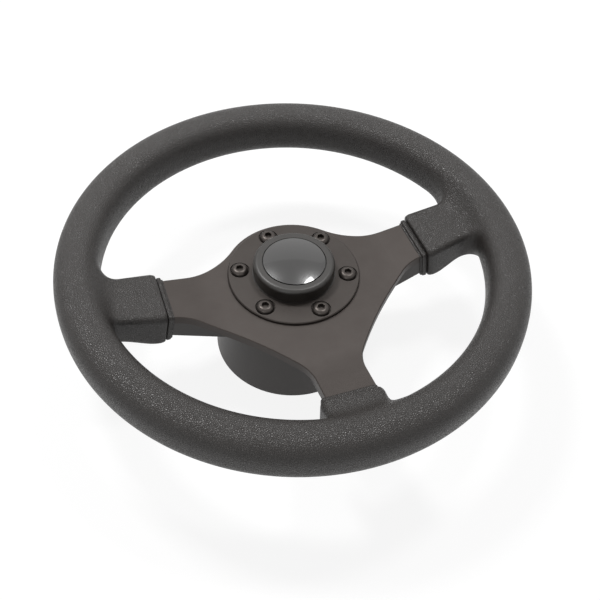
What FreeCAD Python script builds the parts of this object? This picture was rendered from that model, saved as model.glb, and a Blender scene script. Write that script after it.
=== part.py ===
"""A small three spoke boat steering wheel, in millimetres.

+Z runs along the wheel's axis towards the driver, and the bottom spoke points along -Y.
The origin is the centre of the hub's rear face, on which the wheel stands on a bench.
Each spoke's own pieces are drawn on +X and then turned about Z to their place.
"""

import FreeCAD, Part
import math
import os
import re
import Sketcher

# The driving sizes. Every other size is worked out from them in an expression.
SIZES = [
    ("rim_diameter", 280.0, "outer diameter of the grip"),
    ("wheel_depth", 83.6, "hub's rear face to the top of the grip"),
    ("grip_width", 25.8, "grip across, in the wheel's plane"),
    ("grip_depth", 28.6, "grip across, along the axis"),
    ("grip_side_crown", 2.25, "how far the grip's inner and outer sides bulge"),
    ("grip_top_crown", 1.7, "how far the grip's front and back bulge"),
    ("grip_shoulder", 9.7, "radius of the grip's shoulders"),
    ("core_diameter", 10.0, "round rod bent into the ring inside the grip"),
    ("plate_drop", 23.9, "top of the grip down to the spoke plate's flat middle"),
    ("plate_thickness", 5.3, "spoke plate"),
    ("plate_hub_radius", 42.1, "spoke plate's round edge between the side spokes"),
    ("spoke_width", 29.6, "spokes at the sleeves"),
    ("spoke_fillet", 47.0, "upper side of a side spoke into the round edge"),
    ("web_distance", 57.3, "axis to the lower web edge, half way between two spokes"),
    ("web_radius", 250.0, "hollow of the lower web edge"),
    ("web_fillet", 25.0, "lower web edge into a spoke's side"),
    ("spoke_slope", 8.5, "degrees that a spoke's outer part rises"),
    ("bend_radius", 80.0, "bend between the flat middle and a rising spoke"),
    ("bend_lead", 28.0, "start of the bend to the start of the sleeve's collar"),
    ("side_collar_place", 76.5, "axis to the collar on the side spokes"),
    ("bottom_sleeve_reach", 22.4, "collar to the rim's inner edge on the bottom spoke"),
    ("side_spoke_raise", 1.0, "degrees that the side spokes stand above square"),
    ("bottom_spoke_lean", 1.0, "degrees that the bottom spoke leans to the left"),
    ("plate_edge_break", 0.5, "chamfer along the plate's upper edge"),
    ("lip_length", 1.5, "thin lip in front of a sleeve's collar"),
    ("lip_step", 0.7, "lip proud of the spoke"),
    ("collar_length", 4.2, "collar along the spoke"),
    ("collar_step", 1.7, "collar proud of the spoke at the sides and top"),
    ("collar_under", 1.2, "collar lower than the spoke's underside"),
    ("sleeve_width", 37.0, "sleeve across at its inner end"),
    ("sleeve_draw", 3.5, "degrees that each side of the sleeve draws in"),
    ("sleeve_rise", 4.3, "sleeve's top above the plate at its inner end"),
    ("sleeve_slope", 10.0, "degrees that the sleeve's top rises towards the rim"),
    ("sleeve_flare", 12.0, "radius where the sleeve spreads into the rim"),
    ("sleeve_blend", 10.0, "hollow between the sleeve's top and the rim"),
    ("sleeve_blend_place", 6.1, "start of that hollow to the rim's inner edge"),
    ("sleeve_climb", 65.0, "degrees of slope where the hollow meets the rim"),
    ("sleeve_belly", 6.0, "roundings along the sleeve's underside"),
    ("sleeve_belly_place", 6.0, "end of the rising underside to the rim's inner edge"),
    ("sleeve_belly_lift", 0.8, "sleeve's underside above the rim's rear at that end"),
    ("sleeve_edge", 3.2, "rounding of the sleeve's long edges on the driver's side"),
    ("sleeve_under_edge", 2.0, "rounding of its long edges behind"),
    ("collar_edge", 1.2, "rounding of the collar's long edges"),
    ("groove_width", 0.8, "groove between the collar and the sleeve"),
    ("arm_root_height", 34.0, "rear face to an arm's underside at the bell"),
    ("arm_depth", 11.1, "an arm's depth where the collar starts"),
    ("bottom_arm_inset", 5.0, "bottom arm inside the spoke's edges, on each side"),
    ("arm_overlap", 17.0, "how far an arm reaches into its sleeve at most"),
    ("arm_end_gap", 13.5, "arm's end to the rim's inner edge at least"),
    ("arm_wall", 3.2, "walls of the arm's hollow underside"),
    ("bell_radius", 47.6, "hub bell at its rear face"),
    ("bell_wall", 3.6, "wall of the bell"),
    ("bell_clearance", 0.1, "gap between the bell and the hub's flange"),
    ("flange_thickness", 6.4, "hub's front flange under the plate"),
    ("nut_recess_radius", 21.0, "round recess for the shaft's nut"),
    ("nut_recess_depth", 13.0, "front flange down to the nut's seat"),
    ("nut_recess_wall", 3.8, "wall round the nut's recess"),
    ("boss_radius", 18.5, "boss round the taper"),
    ("boss_end", 12.0, "rear face up to the boss's rear end"),
    ("rib_thickness", 3.0, "ribs between the boss and the bell"),
    ("rib_depth", 12.0, "ribs below the front flange"),
    ("taper_large_bore", 19.05, "tapered bore at its rear end"),
    ("taper_ratio", 12.0, "length over which the bore narrows by one"),
    ("insert_radius", 14.0, "metal taper insert"),
    ("insert_groove", 1.0, "depth of the locking grooves round the insert"),
    ("key_width", 4.76, "keyway"),
    ("key_depth", 2.4, "keyway above the bore's wall"),
    ("ring_radius", 39.65, "trim ring"),
    ("ring_stand", 1.9, "trim ring above the plate"),
    ("ring_seat", 1.1, "shallow seat in the plate under the ring"),
    ("ring_edge_break", 0.5, "chamfer round the trim ring"),
    ("screw_circle", 65.0, "diameter of the circle of six screws"),
    ("screw_turn", 39.7, "degrees of the first screw from +X"),
    ("screw_head", 10.5, "head diameter"),
    ("screw_head_height", 3.3, "head height"),
    ("screw_shank", 6.0, "shank diameter"),
    ("screw_length", 20.0, "shank length"),
    ("screw_key", 4.0, "hexagon socket across flats"),
    ("screw_key_depth", 2.1, "socket depth"),
    ("screw_recess", 11.9, "recess round each head"),
    ("screw_recess_depth", 1.2, "recess depth in the ring"),
    ("screw_clearance", 0.3, "gap round a shank in the ring and the plate"),
    ("thread_clearance", 0.03, "gap between a shank and its threaded insert"),
    ("bush_diameter", 8.6, "brass threaded insert"),
    ("bush_length", 12.4, "brass threaded insert"),
    ("bush_boss", 8.6, "radius of the boss round a threaded insert"),
    ("cap_radius", 24.5, "centre cap"),
    ("cap_stand", 9.6, "cap above the trim ring"),
    ("cap_foot", 0.45, "thin foot round the cap, outside its wall"),
    ("cap_foot_height", 0.5, "height of the cap's foot"),
    ("cap_shoulder", 2.6, "rounding of the cap's upper edge"),
    ("cap_wall", 2.2, "wall of the cap and its skirt"),
    ("cap_spigot_radius", 20.6, "skirt that plugs into the ring"),
    ("cap_spigot_length", 10.0, "skirt below the ring's top"),
    ("cap_spigot_clearance", 0.08, "gap round the skirt"),
    ("cap_slot_width", 5.0, "slots that let the skirt spring"),
    ("dome_radius", 18.6, "glossy dome in the cap"),
    ("dome_gap", 0.6, "gap round the dome"),
    ("dome_seat", 1.6, "depth of the dome's seat in the cap"),
    ("dome_edge", 1.2, "height of the dome at its edge"),
    ("dome_crown", 2.0, "rise of the dome's middle"),
    ("pad_thickness", 0.6, "foam pad that holds the dome"),
]

VALUES = {name: number for name, number, note in SIZES}

# Heights and places that several pieces share, as expressions.
MIDDLE = "(wheel_depth - grip_depth / 2)"
GRIP_RADIUS = "((rim_diameter - grip_width) / 2)"
PLATE_TOP = "(wheel_depth - plate_drop)"
PLATE_BOTTOM = "(wheel_depth - plate_drop - plate_thickness)"
RING_TOP = "(wheel_depth - plate_drop + ring_stand)"
RING_BOTTOM = "(wheel_depth - plate_drop - ring_seat)"
SCREW_SEAT = "(wheel_depth - plate_drop + ring_stand - screw_recess_depth)"
NUT_SEAT = "(wheel_depth - plate_drop - plate_thickness - nut_recess_depth)"
CAP_TOP = "(wheel_depth - plate_drop + ring_stand + cap_stand)"
RING_BORE = "(cap_spigot_radius + cap_spigot_clearance)"
SCREW_HOLE = "(screw_shank / 2 + screw_clearance)"
BOTTOM_COLLAR = "(rim_diameter / 2 - grip_width - bottom_sleeve_reach)"
SPOKES = {
    "left": ("side_collar_place", "180 - side_spoke_raise"),
    "right": ("side_collar_place", "side_spoke_raise"),
    "bottom": (BOTTOM_COLLAR, "-90 - bottom_spoke_lean"),
}

doc = FreeCAD.newDocument("boat_steering_wheel")
sheet = doc.addObject("Spreadsheet::Sheet", "Sizes")
for row, (name, number, note) in enumerate(SIZES, start=1):
    sheet.set("A%d" % row, name)
    sheet.set("B%d" % row, str(number))
    sheet.set("C%d" % row, note)
    sheet.setAlias("B%d" % row, name)
doc.recompute()


def bound(text):
    """The expression with each size's name turned into its cell."""
    return re.sub(r"[a-z]+(?:_[a-z]+)+", lambda word: "Sizes." + word.group(), str(text))


def value(text):
    """The number that an expression gives now."""
    return float(sheet.evalExpression(bound(text)))


def drive(thing, **properties):
    """Binds properties to expressions. A double underscore stands for a dot."""
    for name, text in properties.items():
        thing.setExpression(name.replace("__", "."), bound(text))
    return thing


def body_of(name):
    """An empty body."""
    return doc.addObject("PartDesign::Body", name)


def plane(body, role):
    """One of the body's own origin planes."""
    return next(f for f in body.Origin.OriginFeatures if f.Role == role)


def sketch_on(body, name, role, height=None):
    """A sketch on an origin plane, lifted by the height."""
    made = body.newObject("Sketcher::SketchObject", name)
    made.AttachmentSupport = [(plane(body, role), "")]
    made.MapMode = "FlatFace"
    if height is not None:
        drive(made, AttachmentOffset__Base__z=height)
    return made


def pin(sketch, geometry, point, x, y):
    """Holds a point of the sketch at two expressions."""
    for kind, text, axis in (("DistanceX", x, -2), ("DistanceY", y, -1)):
        number = value(text)
        if abs(number) < 1e-9:
            sketch.addConstraint(Sketcher.Constraint("PointOnObject", geometry, point, axis))
        else:
            index = sketch.addConstraint(Sketcher.Constraint(kind, -1, 1, geometry, point, number))
            drive(sketch, **{"Constraints[%d]" % index: text})


def arc_between(start, end, radius):
    """An arc from start to end, bulging to the right of the way there where radius is positive."""
    half = (end - start) / 2
    across = FreeCAD.Vector(-half.y, half.x, 0).normalize()
    away = math.sqrt(max(radius**2 - half.Length**2, 0.0))
    centre = start + half + across * math.copysign(away, radius)
    first, last = (start, end) if radius > 0 else (end, start)
    a = math.atan2(first.y - centre.y, first.x - centre.x)
    b = math.atan2(last.y - centre.y, last.x - centre.x)
    circle = Part.Circle(centre, FreeCAD.Vector(0, 0, 1), abs(radius))
    return Part.ArcOfCircle(circle, a, b if b > a else b + 2 * math.pi)


def loop(sketch, corners, arcs=None):
    """Closes an outline. arcs maps a corner's number to the radius of the arc that leaves it."""
    arcs = arcs or {}
    points = [FreeCAD.Vector(value(x), value(y), 0) for x, y in corners]
    ends = []
    for i, start in enumerate(points):
        end = points[(i + 1) % len(points)]
        if i in arcs:
            turn, radius = arcs[i]
            made = sketch.addGeometry(arc_between(start, end, turn * value(radius)))
            ends.append((made, 1, 2) if turn > 0 else (made, 2, 1))
        else:
            made = sketch.addGeometry(Part.LineSegment(start, end))
            ends.append((made, 1, 2))
    for i, (made, head, tail) in enumerate(ends):
        after = ends[(i + 1) % len(ends)]
        sketch.addConstraint(Sketcher.Constraint("Coincident", made, tail, after[0], after[1]))
        pin(sketch, made, head, *corners[i])
        if i in arcs:
            radius = arcs[i][1]
            index = sketch.addConstraint(Sketcher.Constraint("Radius", made, value(radius)))
            drive(sketch, **{"Constraints[%d]" % index: radius})
    return sketch


def circle_in(sketch, x, y, radius):
    """A full circle with its centre at two expressions."""
    centre = FreeCAD.Vector(value(x), value(y), 0)
    made = sketch.addGeometry(Part.Circle(centre, FreeCAD.Vector(0, 0, 1), value(radius)))
    pin(sketch, made, 3, x, y)
    index = sketch.addConstraint(Sketcher.Constraint("Radius", made, value(radius)))
    drive(sketch, **{"Constraints[%d]" % index: radius})
    return sketch


def feature(body, kind, name, sketch, **properties):
    """A sketch feature of the body, with its sizes bound."""
    made = body.newObject("PartDesign::" + kind, name)
    made.Profile = sketch
    if kind in ("Revolution", "Groove"):
        made.ReferenceAxis = (sketch, ["V_Axis"])
        made.Angle = 360
    drive(made, **properties)
    sketch.Visibility = False
    doc.recompute()
    return made


def turned(name, corners, arcs=None):
    """A body turned about Z from a half section in radius and height."""
    body = body_of(name)
    section = loop(sketch_on(body, name + "_section", "XZ_Plane"), corners, arcs)
    feature(body, "Revolution", name + "_turning", section)
    return body


def cut_down(body, name, sketch, depth, copies=1):
    """A pocket below the sketch, repeated evenly about Z."""
    before = body.Tip
    pocket = feature(body, "Pocket", name, sketch, Length=depth)
    if pocket.Shape.Volume >= before.Shape.Volume:
        pocket.Reversed = True
    if copies > 1:
        pattern_about_axis(body, name + "_pattern", [pocket], copies)
    doc.recompute()
    return pocket


def pattern_about_axis(body, name, features, copies):
    """Repeats features evenly about Z."""
    pattern = body.newObject("PartDesign::PolarPattern", name)
    pattern.Originals = features
    pattern.Axis = (plane(body, "Z_Axis"), [""])
    pattern.Angle = 360
    pattern.Occurrences = copies
    body.Tip = pattern
    doc.recompute()
    return pattern


def edges(shape, test):
    """Names of the edges that pass the test."""
    return ["Edge%d" % (i + 1) for i, edge in enumerate(shape.Edges) if test(edge)]


def round_edges(body, kind, name, test, **size):
    """A fillet or chamfer on the edges of the body's last feature that pass the test."""
    base = body.Tip
    made = body.newObject("PartDesign::" + kind, name)
    made.Base = (base, edges(base.Shape, test))
    drive(made, **size)
    doc.recompute()
    return made


def turn_about_axis(thing, angle):
    """Turns a piece drawn on +X about Z."""
    thing.Placement.Rotation = FreeCAD.Rotation(FreeCAD.Vector(0, 0, 1), 0)
    drive(thing, Placement__Rotation__Angle=angle)
    return thing


def joined(name, *things):
    """One solid from several."""
    made = doc.addObject("Part::MultiFuse", name)
    made.Shapes = list(things)
    doc.recompute()
    return made


def common_of(name, *things):
    """What several have in common."""
    made = doc.addObject("Part::MultiCommon", name)
    made.Shapes = list(things)
    doc.recompute()
    return made


def cut_by(name, base, tool):
    """base less tool."""
    made = doc.addObject("Part::Cut", name)
    made.Base = base
    made.Tool = tool
    doc.recompute()
    return made


def upright(edge):
    """Whether an edge runs along Z."""
    if not isinstance(edge.Curve, Part.Line):
        return False
    return abs(edge.tangentAt(edge.FirstParameter).z) > 0.999


def lies_at(edge, height):
    """Whether both ends and the middle of an edge are at that height."""
    middle = edge.valueAt((edge.FirstParameter + edge.LastParameter) / 2)
    places = [vertex.Point for vertex in edge.Vertexes] + [middle]
    return all(abs(place.z - height) < 1e-4 for place in places)


def rim_core():
    """The round rod bent into a ring."""
    ring = doc.addObject("Part::Torus", "rim_core")
    drive(ring, Radius1=GRIP_RADIUS, Radius2="core_diameter / 2", Placement__Base__z=MIDDLE)
    doc.recompute()
    return ring


def bend_line(collar, lift, radius_change):
    """Corners of a spoke's bent surface, from the axis out to the core ring's centre line."""
    start = "(%s - bend_lead)" % collar
    radius = "(bend_radius + (%s))" % radius_change
    bend_end = "(%s + %s * sin(spoke_slope))" % (start, radius)
    bend_height = "(%s + %s * (1 - cos(spoke_slope)))" % (lift, radius)
    outer_height = "(%s + (%s - %s) * tan(spoke_slope))" % (bend_height, GRIP_RADIUS, bend_end)
    return [(start, lift), (bend_end, bend_height), (GRIP_RADIUS, outer_height)], radius


def bent_slab(name, collar, angle):
    """The sheet that one spoke is cut from: flat in the middle, bent, then rising."""
    body = body_of(name)
    top, top_radius = bend_line(collar, PLATE_TOP, "0")
    under, under_radius = bend_line(collar, PLATE_BOTTOM, "plate_thickness")
    reach = "(bend_lead - side_collar_place)"
    corners = [(reach, PLATE_BOTTOM)] + under + top[::-1] + [(reach, PLATE_TOP)]
    arcs = {1: (1, under_radius), 5: (-1, top_radius)}
    side = loop(sketch_on(body, name + "_side", "XZ_Plane"), corners, arcs)
    pad = feature(body, "Pad", name + "_pad", side, Length="-2 * " + reach)
    pad.SideType = "Symmetric"
    doc.recompute()
    return turn_about_axis(body, angle)


def plate_outline():
    """The spoke plate seen from the front, as a tall blank."""
    body = body_of("plate_blank")
    half = "(spoke_width / 2)"
    lift = "side_spoke_raise"
    out_x = "(%s * cos(%s))" % (GRIP_RADIUS, lift)
    out_y = "(%s * sin(%s))" % (GRIP_RADIUS, lift)
    side_x = "(%s * sin(%s))" % (half, lift)
    side_y = "(%s * cos(%s))" % (half, lift)
    end_top = ("%s - %s" % (out_x, side_x), "%s + %s" % (out_y, side_y))
    end_low = ("%s + %s" % (out_x, side_x), "%s - %s" % (out_y, side_y))
    along = "sqrt(plate_hub_radius^2 - (spoke_width / 2)^2)"
    hub_x = "(%s * cos(%s) - %s)" % (along, lift, side_x)
    hub_y = "(%s * sin(%s) + %s)" % (along, lift, side_y)
    # The web's edge is an arc about a point beyond it on the diagonal.
    centre = "((web_distance + web_radius) * cos(45))"
    low_x = "(%s - sqrt(web_radius^2 - (%s - %s)^2))" % (centre, centre, half)
    slant_y = "(%s * tan(%s) - %s / cos(%s))" % (low_x, lift, half, lift)
    mirror = lambda point: ("-(%s)" % point[0], point[1])
    web_side = (low_x, slant_y)
    web_foot = (half, "-(%s)" % low_x)
    foot = (half, "-(%s)" % GRIP_RADIUS)
    right = [foot, web_foot, web_side, end_low, end_top, (hub_x, hub_y)]
    corners = right + [mirror(point) for point in right[::-1]]
    arcs = {1: (-1, "web_radius"), 5: (1, "plate_hub_radius"), 9: (-1, "web_radius")}
    shape = loop(sketch_on(body, "plate_face", "XY_Plane"), corners, arcs)
    feature(body, "Pad", "plate_blank_pad", shape, Length="wheel_depth")
    reach = value("plate_hub_radius")
    outer = value(GRIP_RADIUS) * 0.9
    upper = lambda e: upright(e) and e.Vertexes[0].Point.y > 1 and distance(e) < reach + 0.01
    round_edges(body, "Fillet", "spoke_fillets", upper, Radius="spoke_fillet")
    lower = lambda e: upright(e) and e.Vertexes[0].Point.y < -1 and distance(e) < outer
    round_edges(body, "Fillet", "web_fillets", lower, Radius="web_fillet")
    return body


def distance(edge):
    """An upright edge's distance from the axis."""
    place = edge.Vertexes[0].Point
    return math.hypot(place.x, place.y)


def spoke_plate(core):
    """The one-piece plate: its outline cut through the bent slabs, with its holes."""
    slabs = [bent_slab("slab_" + side, *SPOKES[side]) for side in SPOKES]
    bent = common_of("plate_bent", plate_outline(), joined("slabs", *slabs))
    tools = body_of("plate_holes")
    seat = loop(
        sketch_on(tools, "plate_holes_section", "XZ_Plane"),
        [
            ("0", "0"),
            (RING_BORE, "0"),
            (RING_BORE, RING_BOTTOM),
            ("ring_radius + screw_clearance / 2", RING_BOTTOM),
            ("ring_radius + screw_clearance / 2", "wheel_depth"),
            ("0", "wheel_depth"),
        ],
    )
    feature(tools, "Revolution", "plate_holes_turning", seat)
    hole = screw_hole_sketch(tools, "plate_screw", SCREW_HOLE, "0")
    pad = feature(tools, "Pad", "plate_screw_holes", hole, Length="wheel_depth")
    pattern_about_axis(tools, "plate_screw_pattern", [pad], 6)
    open_plate = cut_by("plate_open", bent, tools)
    broken = doc.addObject("Part::Chamfer", "plate_edges")
    broken.Base = open_plate
    size = value("plate_edge_break")
    shape = open_plate.Shape
    broken.Edges = [
        (number, size, size)
        for number, edge in enumerate(shape.Edges, start=1)
        if upper_outline(edge)
    ]
    doc.recompute()
    return cut_by("spoke_plate", broken, core)


def upper_outline(edge):
    """Whether an edge is part of the plate's outer outline on the driver's side."""
    first, last = edge.ParameterRange
    seat_edge = value("ring_radius + screw_clearance") + 0.2
    for share in (0.0, 0.5, 1.0):
        place = edge.valueAt(first + (last - first) * share)
        out = math.hypot(place.x, place.y)
        if out < seat_edge or out > value(GRIP_RADIUS) - 2 or place.z < value(PLATE_TOP) - 0.01:
            return False
    middle = edge.valueAt((first + last) / 2)
    if any(plate_across(middle, spoke) for spoke in SPOKES.values()):
        return False
    return edge_is_upper(middle)


def edge_is_upper(place):
    """Whether a place on the outline is on the plate's upper face, not its lower one."""
    heights = []
    for collar, angle in SPOKES.values():
        turn = math.radians(value(angle))
        out = place.x * math.cos(turn) + place.y * math.sin(turn)
        aside = abs(place.y * math.cos(turn) - place.x * math.sin(turn))
        if aside < value("spoke_width / 2") + 0.5 and out > 0:
            heights.append(surface_height(out, collar))
    return abs(place.z - max(heights or [value(PLATE_TOP)])) < 0.05


def surface_height(out, collar):
    """Height of a spoke's upper face at a distance along the spoke."""
    corners, bend = bend_line(collar, PLATE_TOP, "0")
    (start, low), (end, high), far = [(value(x), value(y)) for x, y in corners]
    if out <= start:
        return low
    if out <= end:
        return low + value(bend) - math.sqrt(value(bend) ** 2 - (out - start) ** 2)
    return high + (out - end) * math.tan(math.radians(value("spoke_slope")))


def plate_across(place, spoke):
    """Whether a place is in the middle of a spoke, where its faces meet across it."""
    turn = math.radians(value(spoke[1]))
    aside = abs(place.y * math.cos(turn) - place.x * math.sin(turn))
    out = place.x * math.cos(turn) + place.y * math.sin(turn)
    return out > 0 and aside < value("spoke_width / 2") - 1


def screw_hole_sketch(body, name, radius, height):
    """One circle on the screw circle."""
    where = sketch_on(body, name, "XY_Plane", height)
    return circle_in(
        where,
        "screw_circle / 2 * cos(screw_turn)",
        "screw_circle / 2 * sin(screw_turn)",
        radius,
    )


def bell_cone(name, inset, top):
    """A solid cone on the bell's own slope, from its mouth up to a height."""
    slope = "((bell_radius - plate_hub_radius) / %s)" % PLATE_BOTTOM
    mouth = "(bell_radius - %s)" % inset
    crown = "(%s - %s * %s)" % (mouth, slope, top)
    return turned(name, [("0", "0"), (mouth, "0"), (crown, top), ("0", top)])


def hub_core():
    """What stands inside the bell: the front flange, the nut's recess and the boss."""
    under = "(%s - flange_thickness)" % PLATE_BOTTOM
    cup_wall = "(nut_recess_radius + nut_recess_wall)"
    skirt = "(plate_hub_radius - bell_wall - bell_clearance)"
    corners = [
        ("0", "boss_end"),
        ("boss_radius", "boss_end"),
        (cup_wall, "%s - nut_recess_wall" % NUT_SEAT),
        (cup_wall, under),
        (skirt, under),
        (skirt, PLATE_BOTTOM),
        ("0", PLATE_BOTTOM),
    ]
    return turned("hub_core", corners)


def hub_arm(name, collar, angle):
    """One arm of the hub, under its spoke, hollow from behind. The bottom one is set in."""
    body = body_of(name)
    width = "(spoke_width - 2 * bottom_arm_inset)" if collar == BOTTOM_COLLAR else "spoke_width"
    top, bend = bend_line(collar, PLATE_BOTTOM, "plate_thickness")
    root = "(plate_hub_radius * 0.75)"
    tip = "min(%s + arm_overlap; rim_diameter / 2 - grip_width - arm_end_gap)" % collar
    tip_top = "(%s + (%s - %s) * tan(spoke_slope))" % (top[1][1], tip, top[1][0])
    collar_top = "(%s + (%s - %s) * tan(spoke_slope))" % (top[1][1], collar, top[1][0])
    collar_low = "(%s - arm_depth)" % collar_top
    fall = "((%s - arm_root_height) / (%s - bell_radius))" % (collar_low, collar)
    corners = [
        (root, "arm_root_height"),
        ("bell_radius", "arm_root_height"),
        (tip, "arm_root_height + %s * (%s - bell_radius)" % (fall, tip)),
        (tip, tip_top),
        top[1],
        top[0],
        (root, PLATE_BOTTOM),
    ]
    side = loop(sketch_on(body, name + "_side", "XZ_Plane"), corners, {4: (-1, bend)})
    pad = feature(body, "Pad", name + "_pad", side, Length=width)
    pad.SideType = "Symmetric"
    doc.recompute()
    first = "(bell_radius + arm_wall / 2)"
    last = "(%s - arm_wall)" % collar
    hollow = [
        (first, "0"),
        (last, "0"),
        (last, "%s - arm_wall * 1.3" % collar_top),
        (first, "%s - arm_wall * 1.3" % PLATE_BOTTOM),
    ]
    cavity = loop(sketch_on(body, name + "_cavity", "XZ_Plane"), hollow)
    pocket = feature(body, "Pocket", name + "_hollow", cavity, Length=width + " - 2 * arm_wall")
    pocket.SideType = "Symmetric"
    doc.recompute()
    return turn_about_axis(body, angle)


def hub_bosses():
    """Six bosses for the threaded inserts."""
    body = body_of("hub_bosses")
    where = screw_hole_sketch(body, "boss_circle", "bush_boss", PLATE_BOTTOM)
    pad = feature(body, "Pad", "boss_pad", where, Length="bush_length + bell_wall")
    pad.Reversed = True
    doc.recompute()
    pattern_about_axis(body, "boss_pattern", [pad], 6)
    return body


def hub_ribs():
    """Six ribs from the boss out to the flange's edge, half way between the screws."""
    body = body_of("hub_ribs")
    outer = "(plate_hub_radius - bell_wall - bell_clearance)"
    half = "(rib_thickness / 2)"
    corners = [
        ("boss_radius - rib_thickness", "-(%s)" % half),
        (outer, "-(%s)" % half),
        (outer, half),
        ("boss_radius - rib_thickness", half),
    ]
    where = sketch_on(body, "rib_face", "XY_Plane", PLATE_BOTTOM + " - 1")
    loop(where, corners)
    pad = feature(body, "Pad", "rib_pad", where, Length="flange_thickness + rib_depth")
    pad.Reversed = True
    doc.recompute()
    pattern_about_axis(body, "rib_pattern", [pad], 6)
    return turn_about_axis(body, "screw_turn + 30")


def nut_space():
    """The round recess that the nut goes in."""
    body = body_of("nut_space")
    where = circle_in(
        sketch_on(body, "nut_circle", "XY_Plane", NUT_SEAT), "0", "0", "nut_recess_radius"
    )
    feature(body, "Pad", "nut_pad", where, Length="nut_recess_depth + plate_thickness")
    return body


def bush_spaces():
    """The six round spaces for the threaded inserts, each with a way through for the screw's end."""
    body = body_of("bush_spaces")
    where = screw_hole_sketch(body, "bush_circle", "bush_diameter / 2", PLATE_BOTTOM)
    pad = feature(body, "Pad", "bush_pad", where, Length="bush_length")
    pad.Reversed = True
    doc.recompute()
    below = screw_hole_sketch(body, "screw_end_circle", SCREW_HOLE, PLATE_BOTTOM)
    end = feature(body, "Pad", "screw_end_pad", below, Length="bush_length + bell_wall * 2")
    end.Reversed = True
    doc.recompute()
    pattern_about_axis(body, "bush_pattern", [pad, end], 6)
    return body


def taper_space():
    """The space that the taper insert fills, down the middle of the boss."""
    ends = [("0", "boss_end"), ("insert_radius", "boss_end")]
    return turned("taper_space", ends + insert_lands() + [("insert_radius", NUT_SEAT), ("0", NUT_SEAT)])


def hub():
    """The moulded hub, with its arms, round its metal inserts."""
    arms = [hub_arm("arm_" + side, *SPOKES[side]) for side in SPOKES]
    solid = joined("hub_solid", hub_core(), hub_bosses(), hub_ribs(), *arms)
    hollow = cut_by("hub_hollow", solid, joined("hub_tools", nut_space(), taper_space()))
    return cut_by("hub", hollow, bush_spaces())


def hub_bell(hub_piece):
    """The tapered bell round the hub, with a notch for each arm."""
    outside = bell_cone("bell_outside", "0", PLATE_BOTTOM)
    shell = cut_by("bell_shell", outside, bell_cone("bell_inside", "bell_wall", PLATE_BOTTOM))
    return cut_by("hub_bell", shell, hub_piece)


def insert_lands():
    """Corners of two grooves that lock the taper insert in its boss, going up."""
    waist = "(insert_radius - insert_groove)"
    span = "(%s - boss_end)" % NUT_SEAT
    corners = []
    for share in (0.2, 0.6):
        start = "boss_end + %s * %s" % (span, share)
        end = "boss_end + %s * %s" % (span, share + 0.2)
        corners += [("insert_radius", start), (waist, start), (waist, end), ("insert_radius", end)]
    return corners


def taper_insert():
    """The metal insert with the keyed taper that grips the shaft."""
    narrow = "(taper_large_bore / 2 - ((%s) - boss_end) / taper_ratio / 2)" % NUT_SEAT
    corners = [("taper_large_bore / 2", "boss_end"), ("insert_radius", "boss_end")]
    corners += insert_lands() + [("insert_radius", NUT_SEAT), (narrow, NUT_SEAT)]
    body = turned("taper_insert", corners)
    half = "(key_width / 2)"
    keyway = [
        ("-(%s)" % half, "0"),
        (half, "0"),
        (half, "taper_large_bore / 2 + key_depth"),
        ("-(%s)" % half, "taper_large_bore / 2 + key_depth"),
    ]
    where = loop(sketch_on(body, "keyway_face", "XY_Plane", NUT_SEAT), keyway)
    cut_down(body, "keyway", where, "%s - boss_end" % NUT_SEAT)
    return body


def threaded_bush(number):
    """A knurled brass insert for one screw, in two bands with a waist."""
    name = "threaded_insert_%d" % number
    bore = "(screw_shank / 2 + thread_clearance)"
    wide = "(bush_diameter / 2)"
    body = turned(
        name,
        [
            (bore, "-bush_length"),
            (wide, "-bush_length"),
            (wide, "0"),
            (bore, "0"),
        ],
    )
    return on_screw_circle(body, number, PLATE_BOTTOM)


def on_screw_circle(thing, number, height):
    """Sets a piece on the screw circle, the first at the screws' own turn."""
    angle = "(screw_turn + %d)" % (60 * (number - 1))
    return drive(
        thing,
        Placement__Base__x="screw_circle / 2 * cos(%s)" % angle,
        Placement__Base__y="screw_circle / 2 * sin(%s)" % angle,
        Placement__Base__z=height,
    )


def button_screw(number):
    """A button head screw with a hexagon socket, drawn with its seat at height nought."""
    name = "screw_%d" % number
    crown = "screw_key * 0.72"
    rise = "screw_head_height"
    reach = "(screw_head / 2 - (%s))" % crown
    bulge = "((%s)^2 + (%s - screw_head_height * 0.2)^2) / (2 * (%s))" % (reach, rise, reach)
    corners = [
        ("0", "-screw_length"),
        ("screw_shank / 2 - 0.6", "-screw_length"),
        ("screw_shank / 2", "0.6 - screw_length"),
        ("screw_shank / 2", "0"),
        ("screw_head / 2", "0"),
        ("screw_head / 2", "screw_head_height * 0.2"),
        (crown, rise),
        ("0", rise),
    ]
    body = turned(name, corners, {5: (1, bulge)})
    corner = "(screw_key / cos(30) / 2)"
    hexagon = []
    for step in range(6):
        turn = 60 * step
        hexagon.append(("%s * cos(%d)" % (corner, turn), "%s * sin(%d)" % (corner, turn)))
    where = loop(sketch_on(body, name + "_socket_face", "XY_Plane", rise), hexagon)
    cut_down(body, name + "_socket", where, "screw_key_depth")
    return on_screw_circle(body, number, SCREW_SEAT)


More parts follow.
